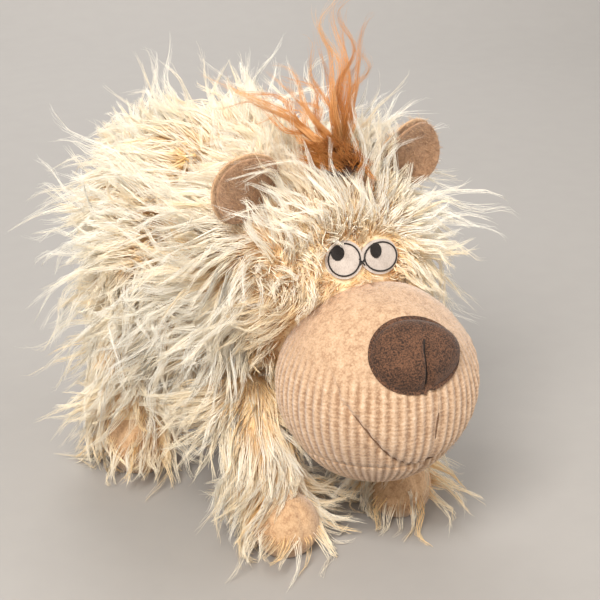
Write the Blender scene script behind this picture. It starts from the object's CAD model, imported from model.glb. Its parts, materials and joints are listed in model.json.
import math

import bmesh
import bpy
import numpy as np
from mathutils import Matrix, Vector
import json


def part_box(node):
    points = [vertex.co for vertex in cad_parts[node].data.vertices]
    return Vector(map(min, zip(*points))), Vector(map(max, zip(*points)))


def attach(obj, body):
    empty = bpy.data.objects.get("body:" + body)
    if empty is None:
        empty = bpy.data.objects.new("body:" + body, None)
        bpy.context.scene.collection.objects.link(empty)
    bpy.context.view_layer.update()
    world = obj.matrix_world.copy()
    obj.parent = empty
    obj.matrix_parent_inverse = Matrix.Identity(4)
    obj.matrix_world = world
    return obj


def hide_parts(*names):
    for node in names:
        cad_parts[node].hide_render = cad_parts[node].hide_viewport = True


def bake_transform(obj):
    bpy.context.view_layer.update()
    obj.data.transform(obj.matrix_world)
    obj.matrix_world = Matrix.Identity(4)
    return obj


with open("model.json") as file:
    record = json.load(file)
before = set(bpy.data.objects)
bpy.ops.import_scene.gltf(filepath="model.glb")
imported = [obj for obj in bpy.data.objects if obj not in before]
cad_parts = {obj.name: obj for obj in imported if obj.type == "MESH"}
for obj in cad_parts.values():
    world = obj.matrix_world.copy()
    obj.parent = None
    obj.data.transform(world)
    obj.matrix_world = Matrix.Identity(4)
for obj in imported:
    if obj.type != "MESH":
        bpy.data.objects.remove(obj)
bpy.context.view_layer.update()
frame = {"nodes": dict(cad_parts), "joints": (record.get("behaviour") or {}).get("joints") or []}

# A plush dog with a long shaggy coat, in metres. +Z is up and the dog looks along -Y.

MM = 0.001


# ---- places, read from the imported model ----


def pivot(joint_name):
    """A joint's own point."""
    for joint in frame["joints"]:
        if joint["name"] == joint_name:
            return Vector(joint["pos_m"])
    raise ValueError(joint_name)


HEAD = pivot("head_nod")
HEAD_SKIN = (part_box("head_stuffing")[1].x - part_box("head_stuffing")[0].x) / 2 + 0.6 * MM
muzzle_low, muzzle_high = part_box("muzzle_cover_left")
MUZZLE_RADIUS = muzzle_high.x
MUZZLE = Vector((0, muzzle_low.y + MUZZLE_RADIUS, muzzle_high.z - MUZZLE_RADIUS))
CHIN_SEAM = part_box("chin_panel")[1].z
torso_low, torso_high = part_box("torso_stuffing")
TORSO_SKIN = torso_high.x + 0.7 * MM
TORSO_AXIS = (torso_low.z + torso_high.z) / 2
TORSO_FRONT, TORSO_REAR = torso_low.y, torso_high.y
TAIL = pivot("tail_wag")
TUFT = pivot("tuft_tilt")
EYES = (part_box("eye_patch")[0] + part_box("eye_patch")[1]) / 2
FACE = (MUZZLE - HEAD).normalized()
SIDES = (("left", 1), ("right", -1))


def leg_place(pair, side):
    """A leg's hip, its paw's centre and its paw's radius."""
    low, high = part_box("%s_%s_paw_cover" % (pair, side))
    radius = (high.x - low.x) / 2
    paw = Vector(((low.x + high.x) / 2, (low.y + high.y) / 2, high.z - radius))
    return pivot("%s_%s_swing" % (pair, side)), paw, radius


# ---- modelling helpers ----


def nothing_selected():
    if bpy.context.object and bpy.context.object.mode != "OBJECT":
        bpy.ops.object.mode_set(mode="OBJECT")
    bpy.ops.object.select_all(action="DESELECT")


def only(piece):
    nothing_selected()
    bpy.context.view_layer.objects.active = piece
    piece.select_set(True)


def settle(piece):
    """Put the piece's place into its mesh."""
    only(piece)
    bpy.ops.object.transform_apply(location=True, rotation=True, scale=True)
    return piece


def coords(piece):
    out = np.zeros(len(piece.data.vertices) * 3)
    piece.data.vertices.foreach_get("co", out)
    return out.reshape(-1, 3)


def place_coords(piece, points):
    piece.data.vertices.foreach_set("co", np.ascontiguousarray(points).ravel())
    piece.data.update()


def outward_faces(piece):
    only(piece)
    bpy.ops.object.mode_set(mode="EDIT")
    bpy.ops.mesh.select_all(action="SELECT")
    bpy.ops.mesh.remove_doubles(threshold=0.00001)
    bpy.ops.mesh.normals_make_consistent(inside=False)
    bpy.ops.object.mode_set(mode="OBJECT")


def smooth(piece):
    only(piece)
    bpy.ops.object.shade_smooth()
    return piece


def modified(piece, kind, **settings):
    """Add one modifier and apply it."""
    only(piece)
    modifier = piece.modifiers.new(kind.lower(), kind)
    for key, value in settings.items():
        setattr(modifier, key, value)
    bpy.ops.object.modifier_apply(modifier=modifier.name)


def cloth_ball(name, centre, radius, segments, rings):
    """A ball of cloth, ready to be shaped."""
    nothing_selected()
    bpy.ops.mesh.primitive_uv_sphere_add(segments=segments, ring_count=rings, radius=radius, location=centre)
    ball = bpy.context.object
    ball.name = name
    return settle(ball)


def turned_shape(name, profile, steps=72):
    """A closed shape spun round the torso's long axis from (along, radius) points."""
    mesh = bpy.data.meshes.new(name)
    shape = bpy.data.objects.new(name, mesh)
    bpy.context.scene.collection.objects.link(shape)
    points = [(0.0, y, TORSO_AXIS + r) for y, r in profile]
    mesh.from_pydata(points, [(i, i + 1) for i in range(len(points) - 1)], [])
    only(shape)
    bpy.ops.object.mode_set(mode="EDIT")
    bpy.ops.mesh.select_all(action="SELECT")
    bpy.ops.mesh.spin(
        steps=steps, angle=2 * math.pi, center=(0, 0, TORSO_AXIS), axis=(0, 1, 0), use_auto_merge=True
    )
    bpy.ops.object.mode_set(mode="OBJECT")
    outward_faces(shape)
    return shape


def half_kept(piece, point, direction):
    """Cut the piece by a plane, keep what lies on the direction's side and close the cut."""
    only(piece)
    bpy.ops.object.mode_set(mode="EDIT")
    bpy.ops.mesh.select_all(action="SELECT")
    bpy.ops.mesh.bisect(plane_co=point, plane_no=direction, use_fill=True, clear_inner=True)
    bpy.ops.object.mode_set(mode="OBJECT")


def copy_of(piece, name):
    twin = piece.copy()
    twin.data = piece.data.copy()
    twin.name = name
    bpy.context.scene.collection.objects.link(twin)
    return twin


def thrown_away(piece):
    bpy.data.objects.remove(piece, do_unlink=True)


def finished(piece, finish, body, slot, *nodes):
    """Give a piece its finish, its body, its slot and the CAD nodes it stands for."""
    piece.data.materials.clear()
    piece.data.materials.append(finish)
    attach(piece, body)
    if nodes:
        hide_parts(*nodes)
    return piece


def lengths_of(v):
    return np.linalg.norm(v, axis=-1, keepdims=True)


def unit(v):
    return v / np.maximum(lengths_of(v), 1e-9)


def step_up(low, high, x):
    t = np.clip((x - low) / (high - low), 0.0, 1.0)
    return t * t * (3 - 2 * t)


# ---- finishes ----


class Shade:
    """A number that varies over a surface. Arithmetic on it adds the nodes that work it out."""

    def __init__(self, finish, socket):
        self.finish = finish
        self.socket = socket

    def worked(self, operation, first, second):
        return self.finish.number("ShaderNodeMath", {"operation": operation}, {0: first, 1: second})

    def __add__(self, other):
        return self.worked("ADD", self, other)

    __radd__ = __add__

    def __sub__(self, other):
        return self.worked("SUBTRACT", self, other)

    def __rsub__(self, other):
        return self.worked("SUBTRACT", other, self)

    def __mul__(self, other):
        return self.worked("MULTIPLY", self, other)

    __rmul__ = __mul__

    def __pow__(self, other):
        return self.worked("POWER", self, other)

    def sine(self):
        return self.worked("SINE", self, 0.0)

    def least(self, other):
        return self.worked("MINIMUM", self, other)

    def most(self, other):
        return self.worked("MAXIMUM", self, other)


def colour(red, green, blue):
    """A colour from its screen values, 0 to 255."""
    parts = [c / 255 for c in (red, green, blue)]
    return tuple(c / 12.92 if c <= 0.04045 else ((c + 0.055) / 1.055) ** 2.4 for c in parts) + (1.0,)


class Finish:
    """One material, built up node by node."""

    def __init__(self, name, **shader):
        self.material = bpy.data.materials.new(name)
        self.material.use_nodes = True
        self.tree = self.material.node_tree
        self.shader = self.tree.nodes["Principled BSDF"]
        for key, value in shader.items():
            self.shader.inputs[key.replace("_", " ")].default_value = value
        self.place = self.node("ShaderNodeTexCoord").outputs["Object"]

    def node(self, kind, settings=None, sockets=None):
        made = self.tree.nodes.new(kind)
        for key, value in (settings or {}).items():
            if key == "stops":
                self.stops(made.color_ramp, value)
            else:
                setattr(made, key, value)
        for key, value in (sockets or {}).items():
            self.feed(made.inputs[key], value)
        return made

    def stops(self, ramp, stops):
        while len(ramp.elements) < len(stops):
            ramp.elements.new(0.5)
        for element, (at, shade) in zip(ramp.elements, stops):
            element.position = at
            element.color = shade

    def feed(self, socket, value):
        if isinstance(value, Shade):
            value = value.socket
        if isinstance(value, bpy.types.NodeSocket):
            self.tree.links.new(value, socket)
        else:
            socket.default_value = value

    def number(self, kind, settings=None, sockets=None, output=0):
        return Shade(self, self.node(kind, settings, sockets).outputs[output])

    def noise(self, size, detail=2.0, rough=0.5, vector=None):
        """Soft blotches of about a size in metres."""
        sockets = {"Scale": 1 / size, "Detail": detail, "Roughness": rough}
        sockets["Vector"] = self.place if vector is None else vector
        return self.number("ShaderNodeTexNoise", None, sockets)

    def cells(self, size, vector=None):
        """Distance to the nearest of many scattered points, in cell widths."""
        sockets = {"Scale": 1 / size, "Vector": self.place if vector is None else vector}
        return self.number("ShaderNodeTexVoronoi", None, sockets)

    def stretched(self, scale, turn=(0, 0, 0)):
        """The piece's own coordinates, scaled and turned."""
        sockets = {"Vector": self.place, "Scale": scale, "Rotation": turn}
        return self.node("ShaderNodeMapping", None, sockets).outputs[0]

    def rise(self, value, low, high):
        """0 below low, 1 above high, smooth between."""
        sockets = {"Value": value, "From Min": low, "From Max": high}
        return self.number("ShaderNodeMapRange", {"interpolation_type": "SMOOTHSTEP"}, sockets)

    def blended(self, share, first, second):
        """A colour between two, by a share from 0 to 1."""
        settings = {"data_type": "RGBA", "clamp_factor": True}
        made = self.node("ShaderNodeMix", settings, {0: share, 6: first, 7: second})
        return made.outputs[2]

    def bump(self, height, distance, strength=1.0, under=None):
        sockets = {"Height": height, "Distance": distance, "Strength": strength}
        if under is not None:
            sockets["Normal"] = under
        return self.node("ShaderNodeBump", None, sockets).outputs[0]

    def surface(self, **sockets):
        for key, value in sockets.items():
            self.feed(self.shader.inputs[key.replace("_", " ")], value)
        return self.material


FUR_ROOT = colour(246, 206, 142)
FUR_GOLD = colour(251, 218, 162)
FUR_CREAM = colour(254, 240, 212)
FUR_WHITE = colour(255, 251, 240)


def long_pile():
    """Strand finish: its map's first value is the lock's tone, its second runs from root to tip."""
    finish = Finish("long_pile", Roughness=0.5, Specular_IOR_Level=0.35, Sheen_Weight=0.15, Sheen_Roughness=0.4)
    uv = finish.node("ShaderNodeUVMap", {"uv_map": "OFBake"}).outputs[0]
    split = finish.node("ShaderNodeSeparateXYZ", None, {0: uv})
    tone, along = Shade(finish, split.outputs[0]), Shade(finish, split.outputs[1])
    stops = [(0.0, FUR_GOLD), (0.45, FUR_CREAM), (1.0, FUR_WHITE)]
    body = finish.node("ShaderNodeValToRGB", {"stops": stops}, {0: tone}).outputs[0]
    reach = 0.34 - 0.3 * tone
    share = finish.rise(along - reach, -0.22, 0.16)
    fur = finish.blended(share, FUR_ROOT, body)
    return finish.surface(Base_Color=fur)


def copper_hair():
    finish = Finish("copper_hair", Roughness=0.5, Specular_IOR_Level=0.45)
    uv = finish.node("ShaderNodeUVMap", {"uv_map": "OFBake"}).outputs[0]
    split = finish.node("ShaderNodeSeparateXYZ", None, {0: uv})
    tone, along = Shade(finish, split.outputs[0]), Shade(finish, split.outputs[1])
    stops = [(0.0, colour(176, 112, 56)), (0.5, colour(224, 156, 86)), (1.0, colour(244, 190, 128))]
    body = finish.node("ShaderNodeValToRGB", {"stops": stops}, {0: tone}).outputs[0]
    share = finish.rise(along, 0.0, 0.28)
    return finish.surface(Base_Color=finish.blended(share, colour(104, 60, 28), body))


def short_pile():
    """The backing between the locks: dense caramel pile in soft swirls."""
    finish = Finish("short_pile", Roughness=0.9, Sheen_Weight=0.35, Sheen_Roughness=0.5)
    curls = finish.noise(4 * MM, 4, 0.6)
    patches = finish.noise(26 * MM, 2, 0.5)
    dark, light = colour(228, 188, 134), colour(250, 228, 190)
    shade = finish.blended(finish.rise(0.6 * curls + 0.4 * patches, 0.35, 0.65), dark, light)
    return finish.surface(Base_Color=shade, Normal=finish.bump(curls, 2 * MM, 0.8))


def chenille(name, light, mid, dark, nub=1.1 * MM, ribs=None):
    """Fuzzy chenille knit: small nubs with darker hollows, in rows where the knit is ribbed."""
    finish = Finish(name, Roughness=0.92, Sheen_Weight=0.4, Sheen_Roughness=0.45)
    nubs = 1 - finish.cells(nub)
    fluff = finish.noise(0.45 * MM, 3, 0.65)
    patches = finish.noise(4 * MM, 3, 0.6)
    height = nubs * 0.45 + fluff * 0.6
    tone = height * 0.55 + patches * 0.55
    if ribs is not None:
        row, shown = ribs(finish)
        tone = tone + row * shown * 0.2
        height = height + row * shown * 0.35
    shade = finish.blended(finish.rise(tone, 0.3, 0.68), dark, mid)
    shade = finish.blended(finish.rise(tone, 0.62, 0.9), shade, light)
    return finish.surface(Base_Color=shade, Normal=finish.bump(height, 0.5 * MM, 0.8))


def knit_rows(finish):
    """Where the muzzle's knit has its ribs: -0.5 in a valley to 0.5 on a rib, with short nubs along it."""
    split = finish.node("ShaderNodeSeparateXYZ", None, {0: finish.place})
    x, y, z = (Shade(finish, split.outputs[k]) for k in range(3))
    turn = x.worked("ARCTAN2", x, MUZZLE.y - y)
    row = (turn * RIB_COUNT + 0.5 * (turn * 3).sine() + math.pi / 2).sine()
    waver = finish.noise(3 * MM, 2, 0.5)
    nubs = (z * (2 * math.pi / (2.3 * MM)) + waver * 9).sine()
    shown = finish.rise(MUZZLE.z + 0.62 * MUZZLE_RADIUS - z, 0.0, 0.55 * MUZZLE_RADIUS)
    return row * 0.75 + nubs * 0.3, shown


def velour():
    """Brushed velour: a fine upright pile that shows the strokes of a hand."""
    finish = Finish("velour_brown", Roughness=0.9, Sheen_Weight=0.15, Sheen_Roughness=0.4)
    pile = finish.noise(0.8 * MM, 2, 0.6)
    strokes = finish.noise(9 * MM, 2, 0.5)
    dark, light = colour(42, 26, 17), colour(112, 76, 54)
    shade = finish.blended(finish.rise(pile * 0.85 + strokes * 0.25, 0.4, 0.7), dark, light)
    return finish.surface(Base_Color=shade, Normal=finish.bump(pile, 0.5 * MM, 0.7))


def felt(name, light, dark):
    finish = Finish(name, Roughness=0.95, Sheen_Weight=0.25)
    fibres = finish.noise(0.35 * MM, 5, 0.7, finish.stretched((1.0, 1.0, 0.35), (0.3, 0.2, 0.6)))
    blots = finish.noise(5 * MM, 2, 0.5)
    shade = finish.blended(finish.rise(fibres * 0.7 + blots * 0.3, 0.35, 0.6), dark, light)
    return finish.surface(Base_Color=shade, Normal=finish.bump(fibres, 0.25 * MM, 0.6))


def thread(name, light, dark):
    """Twisted embroidery thread."""
    finish = Finish(name, Roughness=0.6, Specular_IOR_Level=0.4)
    twist = finish.noise(0.22 * MM, 2, 0.6, finish.stretched((1.0, 0.25, 1.0), (0.5, 0.4, 0.7)))
    shade = finish.blended(finish.rise(twist, 0.35, 0.65), dark, light)
    return finish.surface(Base_Color=shade, Normal=finish.bump(twist, 0.15 * MM, 0.7))


def studio(name, shade):
    finish = Finish(name, Roughness=0.85)
    grain = finish.noise(0.02, 3, 0.5)
    darker = tuple(c * 0.94 for c in shade[:3]) + (1.0,)
    return finish.surface(Base_Color=finish.blended(grain, darker, shade))


RIB_COUNT = 64
RIB_HEIGHT = 0.42 * MM

PILE = long_pile()
COPPER = copper_hair()
BACKING = short_pile()
BEIGE = chenille(
    "chenille_beige", colour(226, 198, 170), colour(204, 170, 138), colour(154, 118, 88), ribs=knit_rows
)
TAN = chenille("chenille_tan", colour(226, 194, 160), colour(204, 168, 130), colour(160, 120, 86))
TAN_INNER = chenille("chenille_tan_inner", colour(196, 160, 126), colour(172, 134, 102), colour(122, 88, 62))
VELOUR = velour()
FELT = felt("felt_white", colour(204, 192, 182), colour(172, 158, 148))
BLACK_THREAD = thread("thread_black", colour(46, 38, 34), colour(16, 13, 12))
BROWN_THREAD = thread("thread_brown", colour(132, 98, 72), colour(88, 62, 44))
CREAM_THREAD = thread("thread_cream", colour(236, 222, 196), colour(196, 176, 142))


# ---- fur: locks of strands ----

TONES = 64
DOWN = np.array([0.0, 0.0, -1.0])
FLOOR_ROOM = 1.2 * MM


def drift(points, size, phase):
    """A smooth wandering direction, the same for neighbours, with swirls of about a size."""
    k = 2 * math.pi / size
    x, y, z = (points * k).T
    return np.stack(
        [
            np.sin(y * 0.9 + 1.7 * np.sin(z * 0.7 + phase) + phase),
            np.sin(z * 1.1 + 1.3 * np.sin(x * 0.8 - phase) + 2.1 + phase),
            np.sin(x * 1.0 + 1.5 * np.sin(y * 0.9 + phase) + 4.2 - phase),
        ],
        axis=1,
    )


def clear_of(points, balls):
    """Move points out of some balls, and up off the floor."""
    for centre, radius in balls:
        away = points - np.array(centre)
        distance = lengths_of(away)
        inside = (distance < radius)[:, 0]
        points[inside] = np.array(centre) + away[inside] / distance[inside] * radius
    low = points[:, 2] < FLOOR_ROOM
    points[low, 2] = FLOOR_ROOM + 0.3 * (FLOOR_ROOM - points[low, 2]) * 0.1
    return points


def lock_guides(roots, headings, lengths, balls, rng, droop, swirl, wave, steps=12):
    """The middle line of each lock."""
    count = len(roots)
    heading = unit(headings)
    points = [roots.copy()]
    for step in range(steps):
        here = points[-1]
        pull = DOWN * (np.reshape(droop, (-1, 1)) / steps) * (lengths[:, None] / 0.04)
        heading = unit(heading + pull + drift(here, 0.055, 1.0) * (swirl / steps))
        points.append(clear_of(here + heading * (lengths[:, None] / steps), balls))
    line = np.stack(points, axis=1)
    t = np.linspace(0, 1, steps + 1)[None, :, None]
    side = unit(np.cross(headings, rng.normal(size=(count, 3))))
    other = unit(np.cross(headings, side))
    turns = rng.uniform(0.6, 1.2, (count, 1, 1)) * (lengths[:, None, None] / 0.04)
    phase = rng.uniform(0, 2 * math.pi, (count, 1, 1))
    height = wave * rng.uniform(0.5, 1.3, (count, 1, 1)) * t**0.8
    curl = side[:, None] * np.sin(turns * 2 * math.pi * t + phase)
    curl = curl + 0.5 * other[:, None] * np.cos(turns * 2 * math.pi * t * 1.2 + phase)
    start = curl[:, :1]
    line = line + height * (curl - start * (1 - t))
    flat = line.reshape(-1, 3)
    low = flat[:, 2] < FLOOR_ROOM
    flat[low, 2] = FLOOR_ROOM
    return flat.reshape(line.shape)


def strands_of(guides, tones, rng, strands, spread, rings, frizz, tip_spread=0.12, shortest=0.7):
    """Strands that leave the cloth side by side and gather towards each lock's tip."""
    count, steps = guides.shape[:2]
    lock = np.repeat(np.arange(count), strands)
    total = len(lock)
    heading = unit(guides[:, 1] - guides[:, 0])[lock]
    side = unit(np.cross(heading, rng.normal(size=(total, 3))))
    reach = spread * np.sqrt(rng.uniform(0, 1, (total, 1)))
    offset = side * reach
    share = rng.uniform(shortest, 1.0, (total, 1))
    t = np.append(np.linspace(0, 0.93, rings), 1.0)[None, :]
    along = t * share * (steps - 1)
    low = np.clip(along.astype(int), 0, steps - 2)
    part = (along - low)[..., None]
    line = guides[lock[:, None], low] * (1 - part) + guides[lock[:, None], low + 1] * part
    gather = ((1 - t) ** 1.3 + tip_spread * t)[..., None]
    line = line + offset[:, None] * gather
    wobble = unit(rng.normal(size=(total, 3)))[:, None]
    turns = rng.uniform(0.6, 2.2, (total, 1))
    phase = rng.uniform(0, 2 * math.pi, (total, 1))
    bend = (np.sin(turns * 2 * math.pi * t + phase) * t)[..., None]
    line = line + wobble * bend * frizz * rng.uniform(0.3, 1.0, (total, 1, 1))
    line[..., 2] = np.maximum(line[..., 2], 0.6 * MM)
    tone = np.clip(np.asarray(tones)[lock] + rng.normal(0, 0.07, total), 0.01, 0.99)
    return line, tone


def strand_mesh(name, line, tone, thickness, tip_share=0.15):
    """Three-sided tapered strands, closed at both ends, in one mesh."""
    total, knots = line.shape[:2]
    rings = knots - 1
    ahead = unit(np.gradient(line, axis=1))
    reference = np.where(np.abs(ahead[..., 2:3]) > 0.8, np.array([1.0, 0, 0]), np.array([0, 0, 1.0]))
    side = unit(np.cross(ahead, reference))
    other = np.cross(ahead, side)
    t = np.linspace(0, 1, knots)[None, :rings, None]
    thick = np.reshape(thickness, (-1, 1, 1)) * (1 - (1 - tip_share) * t)
    corners = []
    for k in range(3):
        turn = 2 * math.pi * k / 3
        way = side[:, :rings] * math.cos(turn) + other[:, :rings] * math.sin(turn)
        corners.append(line[:, :rings] + way * thick)
    ring_points = np.stack(corners, axis=2).reshape(total, rings * 3, 3)
    points = np.concatenate([ring_points, line[:, -1:]], axis=1).reshape(-1, 3)
    per_strand = rings * 3 + 1
    faces, knots_of_face = [], []
    for r in range(rings - 1):
        for k in range(3):
            a, b = r * 3 + k, r * 3 + (k + 1) % 3
            faces.append((a, b, b + 3, a + 3))
            knots_of_face.append((k, k + 1, r, r + 1))
    last = (rings - 1) * 3
    quads = np.array(faces)
    tips = np.array([(last + k, last + (k + 1) % 3, rings * 3) for k in range(3)])
    root = np.array([(2, 1, 0)])
    base = (np.arange(total) * per_strand)[:, None, None]
    all_quads = (quads[None] + base).reshape(-1, 4)
    all_tris = (np.concatenate([tips, root])[None] + base).reshape(-1, 3)
    mesh = bpy.data.meshes.new(name)
    mesh.vertices.add(len(points))
    mesh.vertices.foreach_set("co", points.ravel())
    loops = np.concatenate([all_quads.ravel(), all_tris.ravel()])
    starts = np.concatenate(
        [np.arange(len(all_quads)) * 4, len(all_quads) * 4 + np.arange(len(all_tris)) * 3]
    )
    mesh.loops.add(len(loops))
    mesh.loops.foreach_set("vertex_index", loops)
    mesh.polygons.add(len(starts))
    mesh.polygons.foreach_set("loop_start", starts)
    mesh.update(calc_edges=True)
    # the map: one narrow column a strand, root to tip
    cell = (np.floor(tone * TONES) / TONES)[:, None]
    quad_u = np.array([[k / 3, (k + 1) / 3, (k + 1) / 3, k / 3] for k, k1, r, r1 in knots_of_face])
    quad_v = np.array([[r, r, r1, r1] for k, k1, r, r1 in knots_of_face]) / rings
    tri_u = np.array([[k / 3, (k + 1) / 3, (k + 0.5) / 3] for k in range(3)] + [[0.9, 0.5, 0.1]])
    tri_v = np.array([[(rings - 1) / rings, (rings - 1) / rings, 1.0]] * 3 + [[0.0, 0.03, 0.0]])
    width = 0.8 / TONES
    margin = 0.1 / TONES
    u = np.concatenate(
        [
            (cell + margin + width * quad_u.ravel()[None]).ravel(),
            (cell + margin + width * tri_u.ravel()[None]).ravel(),
        ]
    )
    v = np.concatenate([np.tile(quad_v.ravel(), total), np.tile(tri_v.ravel(), total)]) * 0.98 + 0.01
    layer = mesh.uv_layers.new(name="OFBake")
    layer.data.foreach_set("uv", np.stack([u, v], axis=1).ravel())
    mesh.polygons.foreach_set("use_smooth", np.ones(len(starts), bool))
    piece = bpy.data.objects.new(name, mesh)
    bpy.context.scene.collection.objects.link(piece)
    return piece


def ball_spread(centre, radius, count):
    """Evenly scattered points on a ball, with their outward directions."""
    k = np.arange(count) + 0.5
    height = 1 - 2 * k / count
    flat = np.sqrt(1 - height**2)
    turn = k * math.pi * (3 - math.sqrt(5))
    out = np.stack([flat * np.cos(turn), flat * np.sin(turn), height], axis=1)
    return np.array(centre) + out * radius, out


def torso_profile_points(count=160):
    """The skin's outline as (along, radius), from the chest to the rump."""
    front_round, rear_round = 8 * MM, 56 * MM
    out = [(TORSO_FRONT, 0.0)]
    for k in range(9):
        a = math.pi / 2 * k / 8
        out.append((TORSO_FRONT + front_round * (1 - math.cos(a)), TORSO_SKIN - front_round * (1 - math.sin(a))))
    for k in range(1, 14):
        out.append((TORSO_FRONT + front_round + (TORSO_REAR - rear_round - TORSO_FRONT - front_round) * k / 13, TORSO_SKIN))
    for k in range(1, 17):
        a = math.pi / 2 * k / 16
        out.append((TORSO_REAR - rear_round * (1 - math.sin(a)), TORSO_SKIN - rear_round * (1 - math.cos(a))))
    out.append((TORSO_REAR, 0.0))
    return out


def torso_spread(count):
    """Evenly scattered points on the body bag, with their outward directions."""
    profile = np.array(torso_profile_points())
    step = np.diff(profile, axis=0)
    run = np.linalg.norm(step, axis=1)
    weight = run * (profile[1:, 1] + profile[:-1, 1])
    total = np.concatenate([[0], np.cumsum(weight)])
    share = (np.arange(count) + 0.5) / count * total[-1]
    part = np.clip(np.searchsorted(total, share) - 1, 0, len(step) - 1)
    t = (share - total[part]) / np.maximum(weight[part], 1e-12)
    here = profile[part] + step[part] * t[:, None]
    out = np.stack([-step[part, 1], step[part, 0]], axis=1) / run[part][:, None]
    turn = np.arange(count) * math.pi * (3 - math.sqrt(5))
    around = np.stack([np.sin(turn), np.zeros(count), np.cos(turn)], axis=1)
    back = np.array([0.0, 1.0, 0.0])
    points = around * here[:, 1:] + back * here[:, :1] + np.array([0, 0, TORSO_AXIS])
    normals = around * out[:, 1:] + back * out[:, :1]
    return points, unit(normals)


def near(points, centre, radius):
    return lengths_of(points - np.array(centre))[:, 0] < radius


FORELEGS = [leg_place("foreleg", name) for name, side in SIDES]
HINDLEGS = [leg_place("hindleg", name) for name, side in SIDES]
MUZZLE_BALL = (MUZZLE, MUZZLE_RADIUS + 1.5 * MM)
HEAD_BALL = (HEAD, HEAD_SKIN + 4 * MM)
LEG_SKIN_STEP = 5 * MM


def strand_thickness(rng, count, low, high):
    return rng.uniform(low, high, count) * MM


def fur_piece(name, body, guides, tones, rng, strands, spread, rings, thick, frizz, **more):
    """One fur piece: the locks' strands as one mesh, riding on its body."""
    line, tone = strands_of(guides, tones, rng, strands, spread, rings, frizz, **more)
    keep = seen_clear(line, body)
    line, tone = line[keep], tone[keep]
    piece = strand_mesh(name, line, tone, strand_thickness(rng, len(line), *thick))
    return finished(piece, PILE, body, "long_pile_cream")


def eye_window(points):
    """How deep points lie in the window before the eyes: below 1 is inside."""
    out = np.array((EYES - HEAD).normalized())
    across = np.array([1.0, 0, 0])
    up = np.cross(out, across)
    up = up if up[2] > 0 else -up
    q = points - np.array(EYES)
    x, y, z = (q @ across) / (25 * MM), (q @ up) / (12.5 * MM), (q @ out)
    flat = np.sqrt(x**2 + y**2)
    return np.where(z > -4 * MM, flat / (1 + np.clip(z, 0, None) * 6), 9.0)


def seen_clear(line, body):
    """Which strands keep out of the eyes, the muzzle's front and the nose."""
    flat = line.reshape(-1, 3)
    blocked = eye_window(flat) < 1
    from_muzzle = flat - np.array(MUZZLE)
    forward = from_muzzle @ np.array(FACE)
    wide = lengths_of(from_muzzle - forward[:, None] * np.array(FACE))[:, 0]
    blocked |= (forward > 4 * MM) & (wide < MUZZLE_RADIUS * 0.93)
    blocked |= lengths_of(from_muzzle)[:, 0] < MUZZLE_RADIUS
    return ~blocked.reshape(line.shape[:2]).any(axis=1)


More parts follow.
